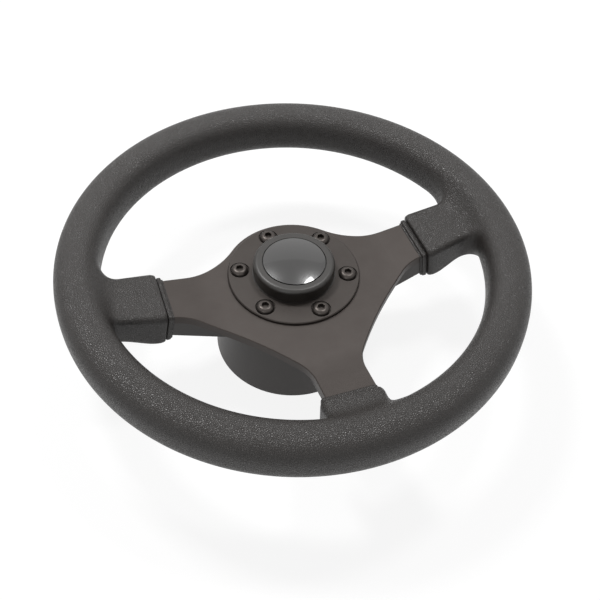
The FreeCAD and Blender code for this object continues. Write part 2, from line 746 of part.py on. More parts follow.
def trim_ring():
    """The flat ring under the screw heads, seated in the plate."""
    body = turned(
        "trim_ring",
        [
            (RING_BORE, RING_BOTTOM),
            ("ring_radius", RING_BOTTOM),
            ("ring_radius", RING_TOP),
            (RING_BORE, RING_TOP),
        ],
    )
    top = value(RING_TOP)
    rim = lambda e: lies_at(e, top) and distance(e) > value("ring_radius") - 0.01
    round_edges(body, "Chamfer", "ring_chamfer", rim, Size="ring_edge_break")
    recess = screw_hole_sketch(body, "ring_recess_circle", "screw_recess / 2", RING_TOP)
    cut_down(body, "ring_recess", recess, "screw_recess_depth", copies=6)
    hole = screw_hole_sketch(
        body, "ring_hole_circle", SCREW_HOLE, RING_TOP
    )
    cut_down(body, "ring_hole", hole, "ring_stand + ring_seat", copies=6)
    return body


def cap_body():
    """The centre cap: a shallow cup turned over, with a slotted skirt below."""
    inner = "(cap_spigot_radius - cap_wall)"
    low = "(%s - cap_spigot_length)" % RING_TOP
    roof = "(%s - dome_seat - cap_wall)" % CAP_TOP
    corners = [
        (inner, low),
        ("cap_spigot_radius - cap_wall / 3", low),
        ("cap_spigot_radius", "%s + cap_wall" % low),
        ("cap_spigot_radius", RING_TOP),
        ("cap_radius + cap_foot", RING_TOP),
        ("cap_radius + cap_foot", "%s + cap_foot_height" % RING_TOP),
        ("cap_radius", "%s + cap_foot_height" % RING_TOP),
        ("cap_radius", "%s - cap_shoulder" % CAP_TOP),
        ("cap_radius - cap_shoulder", CAP_TOP),
        ("dome_radius + dome_gap", CAP_TOP),
        ("dome_radius + dome_gap", "%s - dome_seat" % CAP_TOP),
        ("0", "%s - dome_seat" % CAP_TOP),
        ("0", roof),
        (inner, roof),
    ]
    body = turned("cap_body", corners, {7: (1, "cap_shoulder")})
    half = "(cap_slot_width / 2)"
    slot = [
        ("0", "-(%s)" % half),
        ("cap_radius", "-(%s)" % half),
        ("cap_radius", half),
        ("0", half),
    ]
    where = loop(sketch_on(body, "slot_face", "XY_Plane", "%s - cap_wall / 2" % RING_TOP), slot)
    cut_down(body, "skirt_slot", where, "cap_spigot_length", copies=4)
    return body


def cap_pad():
    """The thin foam pad between the cap and the dome."""
    low = "(%s - dome_seat)" % CAP_TOP
    high = "(%s - dome_seat + pad_thickness)" % CAP_TOP
    edge = "(dome_radius - dome_gap)"
    return turned("cap_pad", [("0", low), (edge, low), (edge, high), ("0", high)])


def cap_dome():
    """The plain glossy dome."""
    low = "(%s - dome_seat + pad_thickness)" % CAP_TOP
    edge = "(%s + dome_edge)" % low
    bulge = "(dome_radius^2 + dome_crown^2) / (2 * dome_crown)"
    corners = [
        ("0", low),
        ("dome_radius", low),
        ("dome_radius", edge),
        ("0", "%s + dome_crown" % edge),
    ]
    return turned("cap_dome", corners, {2: (1, bulge)})


def rim_ring():
    """The grip's ring, a crowned section with round shoulders."""
    side = "(grip_width / 2 - grip_side_crown)"
    height = "(grip_depth / 2 - grip_top_crown)"
    inner = "(%s - %s)" % (GRIP_RADIUS, side)
    outer = "(%s + %s)" % (GRIP_RADIUS, side)
    low = "(%s - %s)" % (MIDDLE, height)
    high = "(%s + %s)" % (MIDDLE, height)
    side_arc = "((%s)^2 + grip_side_crown^2) / (2 * grip_side_crown)" % height
    top_arc = "((%s)^2 + grip_top_crown^2) / (2 * grip_top_crown)" % side
    arcs = {0: (1, top_arc), 1: (1, side_arc), 2: (1, top_arc), 3: (1, side_arc)}
    body = turned("rim_ring", [(inner, low), (outer, low), (outer, high), (inner, high)], arcs)
    round_edges(body, "Fillet", "shoulders", lambda e: True, Radius="grip_shoulder")
    return body


def spoke_heights(collar):
    """Heights at the start of a sleeve: the plate's top and the arm's underside."""
    top, bend = bend_line(collar, PLATE_TOP, "0")
    plate = "(%s + (%s - %s) * tan(spoke_slope))" % (top[1][1], collar, top[1][0])
    return plate, "(%s - plate_thickness / cos(spoke_slope) - arm_depth)" % plate


def lean(place, plate, height):
    """Where a sleeve's end face that passes the plate's top at a place is at another height."""
    return "(%s + (%s - (%s)) * tan(spoke_slope))" % (place, plate, height)


def band(body, name, plate, start, end, plan, low, high):
    """A block of the sleeve between two places, drawn from the side and padded to its width."""
    corners = [(start, low), (end, low), (end, high), (start, high)]
    corners = [(lean(place, plate, height), height) for place, height in corners]
    side = loop(sketch_on(body, name + "_side", "XZ_Plane"), corners)
    pad = feature(body, "Pad", name, side, Length=plan)
    pad.SideType = "Symmetric"
    doc.recompute()
    return pad


def along_spoke(edge):
    """Whether an edge runs outward along the spoke."""
    way = edge.tangentAt((edge.FirstParameter + edge.LastParameter) / 2)
    return abs(way.x) > 0.6


def sleeve_collar(name, collar, angle):
    """The lip, collar and groove at a sleeve's inner end."""
    plate, under = spoke_heights(collar)
    tilt = "tan(spoke_slope)"
    body = body_of(name)
    lip_end = "(%s + lip_length)" % collar
    groove = "(%s + collar_length)" % collar
    sleeve = "(%s + collar_length + groove_width)" % collar
    lip_width = "spoke_width + 2 * lip_step"
    lip_low = under + " - lip_step"
    band(body, name + "_lip", plate, collar, sleeve, lip_width, lip_low, plate + " + lip_step / 2")
    wide = "spoke_width + 2 * collar_step"
    low = under + " - collar_under"
    high = "%s + collar_step + collar_length / 2 * %s" % (plate, tilt)
    band(body, name + "_band", plate, lip_end, groove, wide, low, high)
    long_edges = lambda e: along_spoke(e) and abs(e.Vertexes[0].Point.y) > value(wide) / 2 - 0.01
    round_edges(body, "Fillet", name + "_edges", long_edges, Radius="collar_edge")
    return turn_about_axis(body, angle)


def sleeve_side(name, collar):
    """The sleeve from the side: its rising top, the blend up to the rim and its belly."""
    plate, under = spoke_heights(collar)
    start = "(%s + collar_length + groove_width)" % collar
    low = "(%s - collar_under + 0.6)" % under
    inner_edge = "(rim_diameter / 2 - grip_width)"
    blend_start = "(%s - sleeve_blend_place)" % inner_edge
    start_top = "(%s + sleeve_rise)" % plate
    blend_low = "(%s + (%s - %s) * tan(sleeve_slope))" % (start_top, blend_start, start)
    blend_end = "(%s + sleeve_blend * (sin(sleeve_climb) - sin(sleeve_slope)))" % blend_start
    blend_high = "(%s + sleeve_blend * (cos(sleeve_slope) - cos(sleeve_climb)))" % blend_low
    belly_end = "(%s - sleeve_belly_place)" % inner_edge
    low_start = lean(start, plate, low)
    belly = "(%s + (%s - %s) / 2.5)" % (low_start, belly_end, low_start)
    grip_low = "(%s - grip_depth / 2)" % MIDDLE
    corners = [
        (low_start, low),
        (belly, low),
        (belly_end, grip_low + " + sleeve_belly_lift"),
        (GRIP_RADIUS, grip_low + " + 3 * sleeve_belly_lift"),
        (GRIP_RADIUS, blend_high),
        (blend_end, blend_high),
        (blend_start, blend_low),
        (lean(start, plate, start_top), start_top),
    ]
    body = body_of(name)
    side = loop(sketch_on(body, name + "_outline", "XZ_Plane"), corners, {5: (-1, "sleeve_blend")})
    pad = feature(body, "Pad", name + "_pad", side, Length="sleeve_width * 2 + sleeve_flare * 2")
    pad.SideType = "Symmetric"
    doc.recompute()
    places = (value(belly), value(belly_end))
    kinks = lambda e: edge_across(e) and nearest(e.Vertexes[0].Point.x, places) < 0.01
    round_edges(
        body, "Fillet", name + "_belly", kinks, Radius="min(sleeve_belly; (%s - %s) / 2)" % (belly, low_start)
    )
    return body


def nearest(number, places):
    """How far a number is from the nearest of the places."""
    return min(abs(number - place) for place in places)


def edge_across(edge):
    """Whether an edge runs straight across the spoke."""
    return abs(edge.tangentAt(edge.FirstParameter).y) > 0.999


def sleeve_plan(name, collar):
    """The sleeve from the front: drawing in a little, then flaring into the rim."""
    start = "(%s + collar_length + groove_width)" % collar
    half = "(sleeve_width / 2)"
    flare_end = "(rim_diameter / 2 - grip_width)"
    flare_start = "(%s - sleeve_flare * (1 + sin(sleeve_draw)))" % flare_end
    waist = "(%s - (%s - %s) * tan(sleeve_draw))" % (half, flare_start, start)
    spread = "(%s + sleeve_flare * cos(sleeve_draw))" % waist
    mouth = "(%s - sleeve_rise)" % start
    right = [(mouth, half), (flare_start, waist), (flare_end, spread), (GRIP_RADIUS, spread)]
    corners = [(x, "-(%s)" % y) for x, y in right] + right[::-1]
    arcs = {1: (-1, "sleeve_flare"), 5: (-1, "sleeve_flare")}
    body = body_of(name)
    face = loop(sketch_on(body, name + "_outline", "XY_Plane"), corners, arcs)
    feature(body, "Pad", name + "_pad", face, Length="wheel_depth")
    return body


def sleeve_body(name, collar, angle):
    """The main sleeve: its side view and its front view cut through each other, then rounded."""
    block = common_of(
        name + "_block", sleeve_side(name + "_side", collar), sleeve_plan(name + "_plan", collar)
    )
    limit = value("rim_diameter / 2 - grip_width")
    rounded = doc.addObject("Part::Fillet", name)
    rounded.Base = block
    chosen = []
    for number, edge in enumerate(block.Shape.Edges, start=1):
        if sleeve_long_edge(edge, limit):
            behind = edge.CenterOfMass.z < value(PLATE_BOTTOM) + 5
            radius = value("sleeve_under_edge" if behind else "sleeve_edge")
            chosen.append((number, radius, radius))
    rounded.Edges = chosen
    doc.recompute()
    return turn_about_axis(rounded, angle)


def sleeve_long_edge(edge, limit):
    """The sleeve's edges between its top or underside and its two sides."""
    places = [vertex.Point for vertex in edge.Vertexes]
    chord = places[-1] - places[0]
    one_side = min(abs(p.y) for p in places) > 10 and places[0].y * places[-1].y > 0
    outward = abs(chord.x) > 0.1 and abs(chord.z) < 0.95 * chord.Length
    return one_side and outward and max(p.x for p in places) < limit + 0.1


def rim_grip(core, *held):
    """The soft grip's ring, round the metal ring and the spokes' ends."""
    return cut_by("rim_grip", rim_ring(), joined("grip_held", core, *held))


def sleeve(side, *held):
    """One soft sleeve of the grip, from the ring's inner side to its lip on the spoke."""
    collar, angle = SPOKES[side]
    body = sleeve_body("sleeve_body_" + side, collar, angle)
    solid = joined("sleeve_solid_" + side, body, sleeve_collar("collar_" + side, collar, angle))
    return cut_by("sleeve_" + side, solid, joined("sleeve_held_" + side, *held))


def build():
    """Every piece of the wheel, by name."""
    core = rim_core()
    plate = spoke_plate(core)
    hub_piece = hub()
    grip = rim_grip(core, plate)
    pieces = [core, plate, hub_piece, hub_bell(hub_piece), taper_insert(), grip]
    pieces += [sleeve(side, grip, core, plate, hub_piece) for side in SPOKES]
    pieces += [threaded_bush(number) for number in range(1, 7)]
    pieces += [button_screw(number) for number in range(1, 7)]
    pieces += [trim_ring(), cap_body(), cap_pad(), cap_dome()]
    return pieces


def check(pieces):
    """Stops if any object failed or any piece isn't one valid solid."""
    for thing in doc.Objects:
        bad = [state for state in thing.State if state in ("Invalid", "Error")]
        if bad:
            raise RuntimeError("%s is %s" % (thing.Name, bad))
    for piece in pieces:
        shape = piece.Shape
        if shape.isNull() or not shape.isValid() or len(shape.Solids) != 1:
            raise RuntimeError("%s isn't one valid solid" % piece.Name)


def write(pieces):
    """One STEP file for each piece."""
    os.makedirs("parts", exist_ok=True)
    for piece in pieces:
        piece.Label = piece.Name
        piece.Shape.exportStep("parts/%s.step" % piece.Label)
        box = piece.Shape.BoundBox
        print("%-18s %8.0f mm3  z %6.2f to %6.2f" % (piece.Label, piece.Shape.Volume, box.ZMin, box.ZMax))


doc.recompute()
made = build()
doc.recompute()
check(made)
write(made)
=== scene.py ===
# %% [markdown]
# # A small boat's steering wheel
#
# This lesson dresses the solid model of a small boat's steering wheel so that it looks like the
# real thing: a soft grip moulded over the ends of a metal spoke plate, a trim ring with button
# head screws, a plug-in centre cap with a glossy dome, and a deep moulded hub bell behind.
# The solids already have their true size and place, so here we only add what a solid model
# lacks: the flowing shape of the soft grip, the finishes, the light and the camera.

import math

import bmesh
import bpy
import numpy as np
from mathutils import Euler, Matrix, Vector


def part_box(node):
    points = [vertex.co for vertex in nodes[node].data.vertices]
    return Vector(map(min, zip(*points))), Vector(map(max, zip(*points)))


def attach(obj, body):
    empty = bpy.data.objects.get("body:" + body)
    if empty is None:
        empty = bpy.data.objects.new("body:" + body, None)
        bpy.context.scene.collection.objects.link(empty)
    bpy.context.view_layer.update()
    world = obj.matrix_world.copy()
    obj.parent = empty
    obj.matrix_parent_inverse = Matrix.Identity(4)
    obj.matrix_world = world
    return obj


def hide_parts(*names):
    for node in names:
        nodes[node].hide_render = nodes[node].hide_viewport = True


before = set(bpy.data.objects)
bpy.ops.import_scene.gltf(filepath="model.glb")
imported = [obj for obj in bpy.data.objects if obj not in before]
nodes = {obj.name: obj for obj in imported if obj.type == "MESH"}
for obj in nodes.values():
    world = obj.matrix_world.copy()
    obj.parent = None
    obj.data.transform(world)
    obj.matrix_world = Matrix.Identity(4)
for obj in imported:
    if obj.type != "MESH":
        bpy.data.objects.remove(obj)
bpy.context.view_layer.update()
MM = 0.001

# %% [markdown]
# ## Measures taken from the solids
#
# Everything is placed from the solids themselves, so that a piece made here sits where the
# solid one does. The ring inside the grip gives the rim's centre line, and the grip's own box
# gives the half width and half depth of its section. Those two are rounded to a tenth of a
# millimetre, because the flat facets of a solid's mesh cut a little off its curve. How square
# the section is was matched.

# %% The rim's main sizes, in millimetres
core_low, core_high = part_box("rim_core")
grip_low, grip_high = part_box("rim_grip")
CORE_THICKNESS = (core_high[2] - core_low[2]) / MM
RIM_RADIUS = (core_high[1] - core_low[1]) / MM / 2 - CORE_THICKNESS / 2
MIDDLE = (core_high[2] + core_low[2]) / MM / 2
GRIP_HALF_WIDTH = round(grip_high[1] / MM - RIM_RADIUS, 1)
GRIP_HALF_DEPTH = round(grip_high[2] / MM - MIDDLE, 1)
GRIP_SQUARENESS = 2.67
print("rim radius %.2f, middle %.2f" % (RIM_RADIUS, MIDDLE))
print("grip %.1f wide, %.1f deep" % (2 * GRIP_HALF_WIDTH, 2 * GRIP_HALF_DEPTH))
print("grip from %.2f to %.2f above the floor" % (grip_low[2] / MM, grip_high[2] / MM))

# %% [markdown]
# ## The grip's section
#
# A moulded grip is rarely round. This one is a softly squared oval, deeper than it is wide, which
# fills the hand. A superellipse draws it with one number for how square it is: 2 would be an
# ellipse, and a large number a box. Its points are spaced evenly along the outline, because
# evenly spaced points give faces of even size, which shade smoothly.


# %% Evenly spaced points on an outline
def evenly(points, count, closed=False):
    """Spreads count points evenly along a line of points."""
    points = np.asarray(points, float)
    if closed:
        points = np.vstack([points, points[:1]])
    steps = np.linalg.norm(np.diff(points, axis=0), axis=1)
    along = np.concatenate([[0.0], np.cumsum(steps)])
    wanted = np.linspace(0.0, along[-1], count + 1 if closed else count)
    if closed:
        wanted = wanted[:-1]
    axes = [np.interp(wanted, along, points[:, i]) for i in range(points.shape[1])]
    return np.stack(axes, axis=1)


SECTION_POINTS = 68
FINE_POINTS = 4000


def grip_section():
    """The grip's outline as offsets from the rim's centre line, from its outermost point up."""
    turn = np.linspace(0, 2 * math.pi, FINE_POINTS + 1)[:-1]
    power = 2 / GRIP_SQUARENESS
    out = GRIP_HALF_WIDTH * np.sign(np.cos(turn)) * np.abs(np.cos(turn)) ** power
    up = GRIP_HALF_DEPTH * np.sign(np.sin(turn)) * np.abs(np.sin(turn)) ** power
    return evenly(np.stack([out, up], axis=1), SECTION_POINTS, closed=True)


section = grip_section()
print("section:", len(section), "points,", "width %.2f" % np.ptp(section[:, 0]))

# %% [markdown]
# ## How a sleeve grows out of the rim
#
# The grip and its three sleeves are one moulding: foam is shot into a closed mould round the
# metal. In a mesh the same thing is done by leaving a window in the rim's grid of faces at each
# spoke, and drawing rings of points from the window's edge inward along the spoke. The first
# rings bend smoothly from the rim's surface into the sleeve's, as a mould maker's fillet does.
# Each ring has as many points as the window's edge, so the faces stay four-sided throughout.
#
# Each sleeve has its own few values. angle is the spoke's direction in degrees. collar and last
# are how far out the collar and the sleeve's last ring lie. upper says which side of a side
# sleeve faces away from the viewer: 1 for the left one as one looks outward along the spoke, -1
# for the right one. At its outer end a side sleeve is narrower on the viewer's side by taper,
# and joins the rim further out there by skew. steps is how many faces the window has on each
# side of the spoke, first on the side that faces away.

# %% Sizes of the sleeves, in millimetres along, across and up from each spoke
SPOKE_SLOPE = math.tan(math.radians(8.5))
PLATE_AT_COLLAR = 63.0
ARM_AT_COLLAR = 46.5
SPOKE_HALF = 14.8
RIM_STEPS = 720
SLEEVES = {
    "left": {
        "angle": 179.0, "collar": 76.5, "last": 101.5, "upper": -1,
        "taper": 2.2, "skew": 5.5, "steps": (34, 22),
    },
    "right": {
        "angle": 1.0, "collar": 76.5, "last": 101.5, "upper": 1,
        "taper": 2.2, "skew": 2.0, "steps": (41, 25),
    },
    "bottom": {
        "angle": -91.0, "collar": 91.8, "last": 102.5, "upper": 1,
        "taper": 0.0, "skew": 0.0, "steps": (25, 25),
    },
}
print("sleeves:", {name: s["last"] - s["collar"] for name, s in SLEEVES.items()}, "mm long")

# %% [markdown]
# The stations of a sleeve are its profile seen from above and from the side. Going outward: a
# thin lip that seals on the metal, a collar like a cuff, a narrow groove, and the sleeve itself,
# which is widest at its inner end and draws in a little before it flares into the rim. The lip,
# the cuff, the groove and the sleeve's rounded inner end are the same on all three sleeves, so
# they are drawn once, as offsets from the collar's edge and from the metal inside.

# %% The profile near the collar
# A row is: outward from the collar's edge, wider than the metal, above the plate, below the arm,
# the rounding of the upper corners and that of the lower ones.
LIP = [
    (0.35, -2.0, -2.0, -3.0, 0.5, 0.5),
    (0.35, 0.25, 0.1, 0.2, 0.5, 0.5),
    (0.42, 0.5, 0.3, 0.5, 0.7, 0.7),
    (0.65, 0.65, 0.42, 0.8, 0.9, 0.9),
    (1.0, 0.7, 0.45, 0.9, 0.9, 0.9),
    (1.45, 0.7, 0.45, 0.9, 0.9, 0.9),
]
CUFF = [
    (1.5, 0.9, 0.7, 0.95, 1.2, 1.2),
    (1.55, 1.3, 1.2, 1.0, 1.4, 1.4),
    (1.75, 1.6, 1.55, 1.15, 1.6, 1.6),
    (2.05, 1.7, 1.7, 1.2, 1.7, 1.7),
    (2.9, 1.72, 1.72, 1.2, 1.7, 1.7),
    (3.7, 1.7, 1.7, 1.2, 1.7, 1.7),
    (4.0, 1.58, 1.55, 1.1, 1.6, 1.6),
    (4.18, 1.25, 1.2, 0.9, 1.4, 1.4),
]
GROOVE = [
    (4.25, 0.9, 0.8, 0.6, 1.2, 1.2),
    (4.45, 0.75, 0.6, 0.5, 1.1, 1.1),
    (4.7, 0.8, 0.65, 0.5, 1.2, 1.2),
]
INNER_END = [
    (4.85, 1.1, 1.2, 0.55, 1.7, 1.4),
    (4.87, 1.8, 2.4, 0.6, 2.4, 1.8),
    (4.93, 2.3, 3.15, 0.6, 3.0, 2.0),
    (5.1, 2.75, 3.7, 0.65, 3.6, 2.2),
    (5.5, 3.15, 4.05, 0.7, 4.0, 2.4),
    (6.2, 3.45, 4.22, 0.7, 4.1, 2.5),
    (7.1, 3.62, 4.32, 0.7, 4.0, 2.6),
]
NEAR_COLLAR = LIP + CUFF + GROOVE + INNER_END
print("profile near the collar:", len(NEAR_COLLAR), "rows")

# %% [markdown]
# From there the sleeve's long part follows straight lines: its sides draw in by 2 degrees, and
# its top rises by 10 degrees, a little more than the plate inside. Its underside climbs to meet
# the rim's underside, slowly at first, then faster, then slowly again. The bottom sleeve begins
# where that climb is already under way, so there the climb is eased in after its collar.

# %% The sizes of a sleeve's long part
BODY_START = 7.9
BODY_SPACING = 0.8
BODY_WIDER = 3.68
BODY_RISE = 4.3
BODY_DROP = 0.7
RISE_FROM = 5.0
SIDE_DRAW = math.tan(math.radians(2.0))
TOP_SLOPE = math.tan(math.radians(10.0))
TOP_ROUND = 3.9
LOW_ROUND = 2.6
LOW_ROUND_GAIN = 1.2
TAPER_POWER = 1.3
CLIMB = 5.0
CLIMB_FROM = 86.0
CLIMB_OVER = 19.0
EASE_FROM = 5.5
EASE_OVER = 5.0
print("sides draw in %.3f and the top rises %.3f mm per mm" % (SIDE_DRAW, TOP_SLOPE))


# %% Stations along a sleeve
def station(collar, place, half, rise, drop, top_round, low_round, taper=0.0):
    """Place, half width, top, underside, the two roundings, and the share of the taper."""
    top = PLATE_AT_COLLAR + SPOKE_SLOPE * (place - collar) + rise
    return [place, half, top, ARM_AT_COLLAR - drop, top_round, low_round, taper]


def sleeve_stations(collar, last):
    """All stations of a sleeve, from its lip outward."""
    rows = [
        station(collar, collar + out, SPOKE_HALF + wider, *others)
        for out, wider, *others in NEAR_COLLAR
    ]
    start = collar + BODY_START
    for share in np.linspace(0, 1, max(3, int((last - start) / BODY_SPACING))):
        place = start + (last - start) * share
        half = SPOKE_HALF + BODY_WIDER - SIDE_DRAW * (place - start)
        rise = BODY_RISE + (TOP_SLOPE - SPOKE_SLOPE) * (place - collar - RISE_FROM)
        climb = np.clip((place - CLIMB_FROM) / CLIMB_OVER, 0, 1)
        climb = climb * climb * (3 - 2 * climb)
        if collar > CLIMB_FROM:
            climb = CLIMB * climb * np.clip((place - collar - EASE_FROM) / EASE_OVER, 0, 1)
        else:
            climb = CLIMB * climb
        low_round = LOW_ROUND + LOW_ROUND_GAIN * share
        taper = share**TAPER_POWER
        rows.append(
            station(collar, place, half, rise, BODY_DROP - climb, TOP_ROUND, low_round, taper)
        )
    return np.array(rows)


stations = {name: sleeve_stations(s["collar"], s["last"]) for name, s in SLEEVES.items()}
print("stations:", {name: len(rows) for name, rows in stations.items()})

# %% [markdown]
# Each ring is a rounded rectangle. Its points are spread separately over the top, the two sides
# and the underside, from the middle of one corner's arc to the middle of the next, so that they
# line up with the four sides of the window in the rim.

# %% One ring of a sleeve
ARC_POINTS = 9


def rounded_ring(half, top, low, top_round, low_round, across, aside):
    """Points across and up: the top from +half to -half, down, back along the underside, up."""
    middles = [
        (half - top_round, top - top_round, top_round),
        (top_round - half, top - top_round, top_round),
        (low_round - half, low + low_round, low_round),
        (half - low_round, low + low_round, low_round),
    ]
    spans = []
    for corner in range(4):
        following = (corner + 1) % 4
        points = []
        for which, first, last in ((corner, 45, 90), (following, 0, 45)):
            y, z, radius = middles[which]
            for turn in np.linspace(first, last, ARC_POINTS):
                angle = math.radians(90 * corner + (turn if which == corner else turn + 90))
                points.append((y + radius * math.cos(angle), z + radius * math.sin(angle)))
        count = across if corner % 2 == 0 else aside
        spans.append(evenly(points, count + 1)[:-1])
    return np.vstack(spans)


trial = rounded_ring(*stations["right"][-1, 1:6], across=66, aside=20)
print("ring points:", len(trial), "width %.1f" % np.ptp(trial[:, 0]))

# %% [markdown]
# The fillet between rim and sleeve is a bundle of curves. Each starts on the rim along the rim's
# own surface, and ends on the sleeve along the sleeve's. A Hermite curve does just that: it takes
# two points and two directions. How hard it is pulled sets how round the fillet is. A pull of
# about 1.17 times the distance gives a quarter circle, and a little more keeps the curve closer
# to both surfaces, which suits this moulding. At its sides a fillet leaves along the rim, so the
# part of its direction that runs round the rim is made larger.

# %% A fillet of smooth curves
FILLET_RINGS = 18
RIM_PULL = 1.35
SLEEVE_PULL = 1.25
SWEEP = 3.0


def fillet_rings(rim_points, rim_normals, rim_ways, sleeve_points, sleeve_before):
    """Rings from the rim's window to the sleeve's last ring, without either end."""
    reach = sleeve_points - rim_points
    length = np.linalg.norm(reach, axis=1, keepdims=True)
    along = rim_ways * np.sum(reach * rim_ways, axis=1, keepdims=True)
    lying = reach + SWEEP * along
    lying -= rim_normals * np.sum(lying * rim_normals, axis=1, keepdims=True)
    lying /= np.linalg.norm(lying, axis=1, keepdims=True)
    leaving = sleeve_before - sleeve_points
    leaving /= np.linalg.norm(leaving, axis=1, keepdims=True)
    rings = []
    for step in range(1, FILLET_RINGS):
        t = step / FILLET_RINGS
        ring = (2 * t**3 - 3 * t**2 + 1) * rim_points + (3 * t**2 - 2 * t**3) * sleeve_points
        ring = ring + (t**3 - 2 * t**2 + t) * lying * length * RIM_PULL
        ring = ring + (t**3 - t**2) * leaving * length * SLEEVE_PULL
        rings.append(ring)
    return rings


print("fillet:", FILLET_RINGS - 1, "rings, pulled %.2f and %.2f" % (RIM_PULL, SLEEVE_PULL))

# %% [markdown]
# ## The whole grip
#
# Now the rim's grid, its three windows, the fillets and the sleeves are put together into one
# closed mesh, as the moulding is one piece. The grid is the section, turned round the wheel's
# axis. Its window reaches from a point on the section's inner top to one on its inner underside.

# %% The rim's grid
WINDOW_TOP_CORNER = (-10.3, 10.8)
WINDOW_LOW_CORNER = (-6.4, -13.9)


def nearest_section_point(corner):
    """The number of the section's point that is nearest to a corner, out and up."""
    away = np.hypot(section[:, 0] - corner[0], section[:, 1] - corner[1])
    return int(np.argmin(away))


turns = np.arange(RIM_STEPS) * 2 * math.pi / RIM_STEPS
rim_grid = np.stack(
    [
        (RIM_RADIUS + section[None, :, 0]) * np.cos(turns)[:, None],
        (RIM_RADIUS + section[None, :, 0]) * np.sin(turns)[:, None],
        MIDDLE + np.repeat(section[None, :, 1], RIM_STEPS, axis=0),
    ],
    axis=2,
)
WINDOW_TOP = nearest_section_point(WINDOW_TOP_CORNER)
WINDOW_LOW = nearest_section_point(WINDOW_LOW_CORNER)
print("window from", section[WINDOW_TOP].round(1), "to", section[WINDOW_LOW].round(1))

# %% [markdown]
# A window's edge is listed in the same order as the points of a ring, so that point number one
# of the edge is sewn to point number one of the first ring, and so on.


# %% The edge of a window, in the same order as a ring
def window_ends(sleeve):
    """First and last step round the rim of a sleeve's window."""
    middle = int(round(sleeve["angle"] / 360 * RIM_STEPS))
    away, near = sleeve["steps"]
    if sleeve["upper"] > 0:
        return middle - near, middle + away
    return middle - away, middle + near


def window_edge(sleeve):
    """Pairs of a step round the rim and a point of the section, starting at the top corner."""
    right, left = window_ends(sleeve)
    edge = [(step, WINDOW_TOP) for step in range(left, right, -1)]
    edge += [(right, point) for point in range(WINDOW_TOP, WINDOW_LOW)]
    edge += [(step, WINDOW_LOW) for step in range(right, left)]
    edge += [(left, point) for point in range(WINDOW_LOW, WINDOW_TOP, -1)]
    return [(step % RIM_STEPS, point) for step, point in edge]


print("window edges:", {name: len(window_edge(sleeve)) for name, sleeve in SLEEVES.items()})

# %% [markdown]
# A fillet needs to know how the rim's surface lies at each point of the edge. The slope of the
# superellipse gives the section's outward direction, and turning it round the wheel's axis gives
# the rim's.

# %% How the rim lies along a window's edge
section_normals = np.sign(section) * np.abs(section) ** (GRIP_SQUARENESS - 1)
section_normals /= np.array([GRIP_HALF_WIDTH, GRIP_HALF_DEPTH]) ** GRIP_SQUARENESS
section_normals /= np.linalg.norm(section_normals, axis=1, keepdims=True)


def rim_at_edge(edge):
    """The rim's points along an edge, its outward directions and its ways round the wheel."""
    points, normals, ways = [], [], []
    for step, point in edge:
        cosine, sine = math.cos(turns[step]), math.sin(turns[step])
        out, up = section_normals[point]
        points.append(rim_grid[step, point])
        normals.append([out * cosine, out * sine, up])
        ways.append([-sine, cosine, 0.0])
    return np.array(points), np.array(normals), np.array(ways)


print("outward at the window's top:", section_normals[WINDOW_TOP].round(2))

# %% [markdown]
# Near its collar a sleeve's ring leans back with the spoke's slope, as the collar stands square
# on the sloping plate. Towards the rim it straightens up, and there it takes its sleeve's own
# taper and skew.

# %% One ring, placed in the wheel
LEAN_FADE = 1.6


def placed_ring(sleeve, row):
    """One station's ring in the wheel's own frame."""
    angle = math.radians(sleeve["angle"])
    out_way = np.array([math.cos(angle), math.sin(angle), 0.0])
    side_way = np.array([-math.sin(angle), math.cos(angle), 0.0])
    place, half, top, low, top_round, low_round, taper = row
    drawn_in = taper * sleeve["taper"] / 2
    across, aside = sum(sleeve["steps"]), WINDOW_LOW - WINDOW_TOP
    ring = rounded_ring(half - drawn_in, top, low, top_round, low_round, across, aside)
    ring[:, 0] += sleeve["upper"] * drawn_in
    share = np.clip((sleeve["last"] - place) / (sleeve["last"] - sleeve["collar"]), 0, 1)
    lean = SPOKE_SLOPE * min(1.0, share * LEAN_FADE)
    viewer_side = np.clip(0.5 - sleeve["upper"] * ring[:, 0] / (2 * half), 0, 1)
    out = place + lean * (PLATE_AT_COLLAR - ring[:, 1])
    out += taper * sleeve["skew"] * viewer_side
    points = out[:, None] * out_way + ring[:, :1] * side_way
    points[:, 2] = ring[:, 1]
    return points


def sleeve_rings(name):
    """A sleeve's rings from its fillet to its lip, and the window's edge they start from."""
    edge = window_edge(SLEEVES[name])
    rings = [placed_ring(SLEEVES[name], row) for row in stations[name]]
    return edge, fillet_rings(*rim_at_edge(edge), rings[-1], rings[-2]) + rings[::-1]


print("rings:", {name: len(sleeve_rings(name)[1]) for name in SLEEVES})

# %% [markdown]
# The faces are listed by the numbers of their corners. The window's own faces are left out, the
# first ring is sewn to the window's edge, and the last ring, which is hidden inside the metal, is
# closed with one face.


# %% Faces of the rim and the sleeves
def rim_faces():
    """Faces of the rim's grid, with a window left open at each sleeve."""
    windows = np.zeros((RIM_STEPS, SECTION_POINTS), bool)
    for sleeve in SLEEVES.values():
        for step in range(*window_ends(sleeve)):
            windows[step % RIM_STEPS, WINDOW_TOP:WINDOW_LOW] = True
    faces = []
    for step, point in np.argwhere(~windows).tolist():
        after, above = (step + 1) % RIM_STEPS, (point + 1) % SECTION_POINTS
        corners = ((step, point), (after, point), (after, above), (step, above))
        faces.append([s * SECTION_POINTS + p for s, p in corners])
    return faces


def sewn_faces(before, rings, first):
    """Faces from a row of points to each ring in turn, and one that closes the last ring."""
    faces = []
    for ring in rings:
        here = list(range(first, first + len(ring)))
        first += len(ring)
        for i in range(len(here)):
            j = (i + 1) % len(here)
            faces.append([before[i], before[j], here[j], here[i]])
        before = here
    faces.append(before)
    return faces


